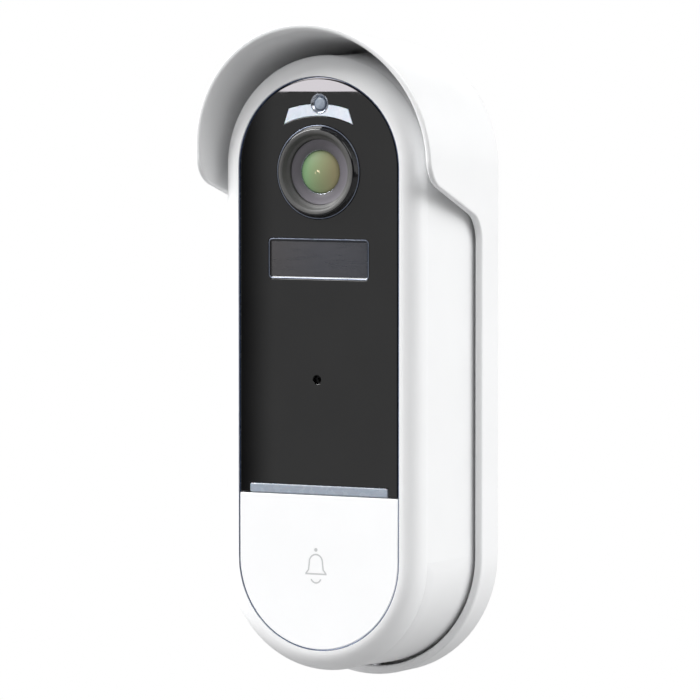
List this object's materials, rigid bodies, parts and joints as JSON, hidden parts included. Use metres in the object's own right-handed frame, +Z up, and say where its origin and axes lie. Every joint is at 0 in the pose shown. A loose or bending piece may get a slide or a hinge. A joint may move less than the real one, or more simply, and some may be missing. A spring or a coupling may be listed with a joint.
{
  "type": "video doorbell",
  "caption": "Stadium-shaped battery video doorbell with camera, motion window and large push button, seated in a wall bracket with a flared rain hood.",
  "frame": {"origin": "centre of the bracket's flat back, on the wall plane, midway between the two wall screws", "axes": "+Z up, -Y out of the wall towards the visitor, +X to the right of someone facing the doorbell"},
  "size_m": [0.063, 0.0423, 0.1555],
  "materials": {
    "white_shell": "semi-gloss moulded plastic with a very fine grain",
    "flap_rubber": "matt moulded rubber",
    "seal_rubber": "matt",
    "trim_blue_grey": "glossy, slightly translucent",
    "panel_black": "high gloss",
    "camera_ring": "satin",
    "baffle_plum": "satin with fine radial lines",
    "coated_glass": "polished, green anti-reflection coating",
    "black_moulding": "fine texture",
    "chip_black": "flat",
    "board_green": "solder mask over glass-fibre laminate",
    "sensor_trim": "glossy",
    "smoke_window": "glossy, smoked",
    "infrared_diffuser": "milky, slightly translucent",
    "light_diffuser": "frosted, translucent",
    "led_package": "moulded",
    "white_insert": "matt",
    "icon_grey": "printed",
    "plated_steel": "zinc or nickel plated",
    "brass_part": "turned or stamped",
    "battery_wrap": null,
    "wire_sleeve": "PVC sleeve"
  },
  "bodies": {
    "bracket": {"mounting_bracket": "white_shell"},
    "unit": {"rear_housing": "white_shell", "front_housing": "white_shell", "housing_seal": "seal_rubber", "panel_trim_ring": "trim_blue_grey", "front_panel": "panel_black", "camera_bezel": "camera_ring", "lens_baffle_ring": "baffle_plum", "front_lens": "coated_glass", "lens_barrel": "black_moulding", "rear_lens": "coated_glass", "image_sensor": "chip_black", "camera_board": "board_green", "photosensor_ring": "sensor_trim", "photosensor_lens": "smoke_window", "infrared_window": "infrared_diffuser", "infrared_leds": "led_package", "infrared_board": "board_green", "motion_lens": "smoke_window", "motion_sensor": "plated_steel", "motion_sensor_hood": "white_insert", "microphone": "plated_steel", "microphone_seal": "seal_rubber", "status_light_bar": "light_diffuser", "status_leds": "led_package", "button_pad": "seal_rubber", "switch_body": "black_moulding", "main_board": "board_green", "shield_can": "plated_steel", "processor": "chip_black", "wifi_antenna": "brass_part", "speaker": "black_moulding", "speaker_gasket": "seal_rubber", "battery_cells": "battery_wrap", "battery_tray": "black_moulding", "battery_contacts": "plated_steel", "battery_lead": "wire_sleeve", "battery_plug": "white_insert", "usb_port": "plated_steel", "usb_cover_pin": "plated_steel", "reset_switch": "white_insert", "lock_insert": "brass_part", "housing_screws": "plated_steel", "board_screws": "plated_steel"},
    "button": {"button_cap": "white_shell", "bell_icon": "icon_grey"},
    "plunger": {"switch_plunger": "white_insert"},
    "port_flap": {"usb_cover": "flap_rubber"},
    "reset": {"reset_button": "black_moulding"},
    "lock": {"lock_screw": "plated_steel"}
  },
  "joints": [
    {"name": "unit_release", "type": "slide", "parent": "bracket", "child": "unit", "axis": [0, -1, 0], "range_m": [0, 0.045]},
    {"name": "lock_turn", "type": "slide", "parent": "bracket", "child": "lock", "axis": [0, 0, 1], "range_m": [0, 0.0015]},
    {"name": "button_press", "type": "slide", "parent": "unit", "child": "button", "axis": [0, 1, 0], "range_m": [0, 0.0006], "stiffness_N_per_m": 2500, "springref_m": -0.0004},
    {"name": "switch_press", "type": "slide", "parent": "unit", "child": "plunger", "axis": [0, 1, 0], "range_m": [0, 0.0006]},
    {"name": "flap_open", "type": "hinge", "parent": "unit", "child": "port_flap", "pos_m": [0, -0.0145, -0.0704], "axis": [1, 0, 0], "range_deg": [0, 95]},
    {"name": "reset_press", "type": "slide", "parent": "unit", "child": "reset", "axis": [0, 0, 1], "range_m": [0, 0.0004], "stiffness_N_per_m": 2500, "springref_m": -0.0004}
  ],
  "couplings": [
    {"joint": "switch_press", "follows": "button_press", "ratio": 1}
  ]
}
